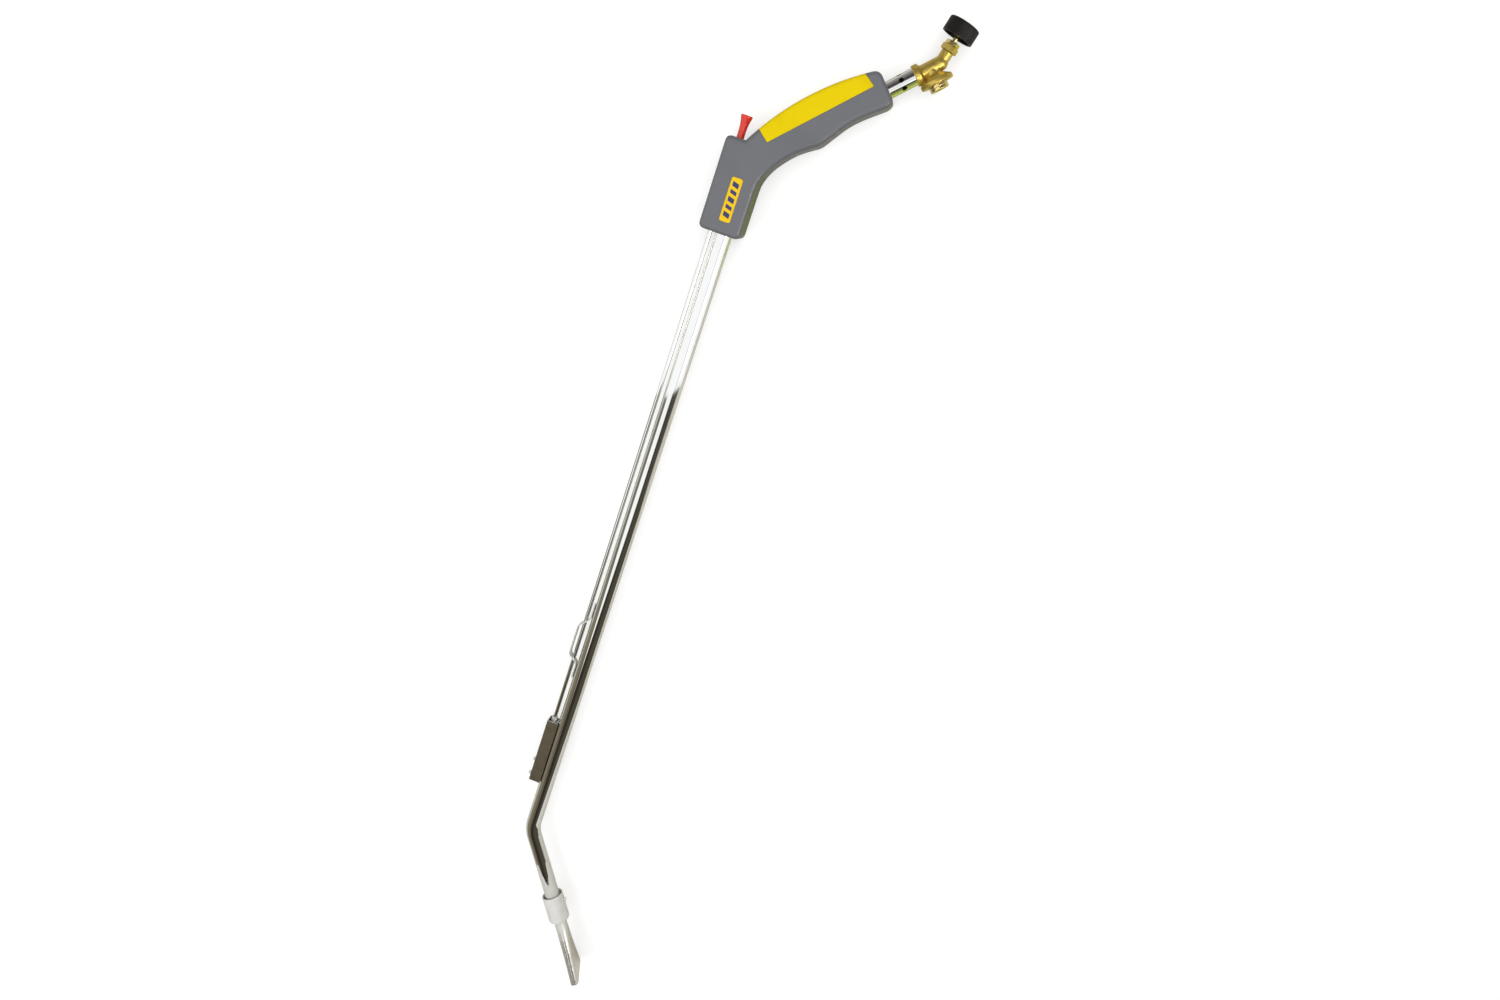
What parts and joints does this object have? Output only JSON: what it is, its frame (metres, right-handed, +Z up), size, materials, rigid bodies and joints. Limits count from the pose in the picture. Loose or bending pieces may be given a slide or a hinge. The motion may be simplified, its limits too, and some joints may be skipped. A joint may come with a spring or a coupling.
{
  "type": "propane torch lance",
  "caption": "Hand-held gas torch with a two-part grip, brass cartridge valve, push-rod igniter and a long chromed tube ending in a flat flame nozzle.",
  "frame": {"origin": "centre of the footprint, on the surface that the torch lies on", "axes": "+X along the straight tube towards the handle, +Y towards the igniter rod's side, +Z up through the handle's thickness, out of its label side"},
  "size_m": [1.0842, 0.182, 0.0487],
  "materials": {
    "tube_chrome": "mirror-bright plated tube",
    "rod_chrome": "bright plated rod",
    "handle_plastic": "mid grey with a fine moulded texture",
    "inlay_rubber": "bright yellow, soft and matte",
    "label_yellow": "warm yellow with a light sheen",
    "button_red": "clear bright red",
    "knob_black": "satin black",
    "zinc_steel": "zinc plated, satin",
    "box_sheet": "dark folded sheet, semi-bright",
    "burner_steel": "bright drawn steel",
    "cast_brass": "as cast, matte",
    "turned_brass": "machined, bright",
    "seal_rubber": "matte black",
    "ceramic_white": "off-white insulator, smooth"
  },
  "bodies": {
    "torch": {"main_tube": "tube_chrome", "handle_shell_near": "handle_plastic", "handle_shell_far": "handle_plastic", "grip_inlay": "inlay_rubber", "label_plate": "label_yellow", "handle_screw_1": "zinc_steel", "handle_screw_2": "zinc_steel", "handle_screw_3": "zinc_steel", "handle_screw_4": "zinc_steel", "handle_screw_5": "zinc_steel", "button_spring": "zinc_steel", "guide_bracket": "zinc_steel", "igniter_box": "box_sheet", "piezo_body": "knob_black", "box_rivet_upper": "zinc_steel", "box_rivet_lower": "zinc_steel", "ignition_lead": "seal_rubber", "electrode_insulator": "ceramic_white", "spark_electrode": "burner_steel", "valve_body": "cast_brass", "gas_jet": "turned_brass", "cartridge_socket": "turned_brass", "cartridge_seal": "seal_rubber", "opening_pin": "turned_brass", "bonnet_nut": "cast_brass", "packing_nut": "turned_brass", "spindle_seal": "seal_rubber", "burner_cup": "burner_steel", "air_ring": "burner_steel", "cup_screw": "zinc_steel", "flame_nozzle": "burner_steel"},
    "spindle": {"valve_spindle": "turned_brass"},
    "knob": {"control_knob": "knob_black"},
    "igniter_rod": {"igniter_button": "button_red", "push_rod": "rod_chrome", "rod_ferrule": "zinc_steel", "piezo_plunger": "ceramic_white"}
  },
  "joints": [
    {"name": "spindle_rise", "type": "slide", "parent": "torch", "child": "spindle", "axis": [0.9724, -0.2334, 0], "range_m": [0, 0.0015]},
    {"name": "knob_turn", "type": "hinge", "parent": "spindle", "child": "knob", "pos_m": [0.50208, -0.06811, 0.02436], "axis": [0.9724, -0.2334, 0], "range_deg": [0, 540]},
    {"name": "button_press", "type": "slide", "parent": "torch", "child": "igniter_rod", "axis": [-1, 0, 0], "range_m": [0, 0.006], "stiffness_N_per_m": 600, "springref_m": -0.004, "deforming": ["button_spring"]}
  ],
  "couplings": [
    {"joint": "knob_turn", "follows": "spindle_rise", "rad_per_m": 6280}
  ]
}
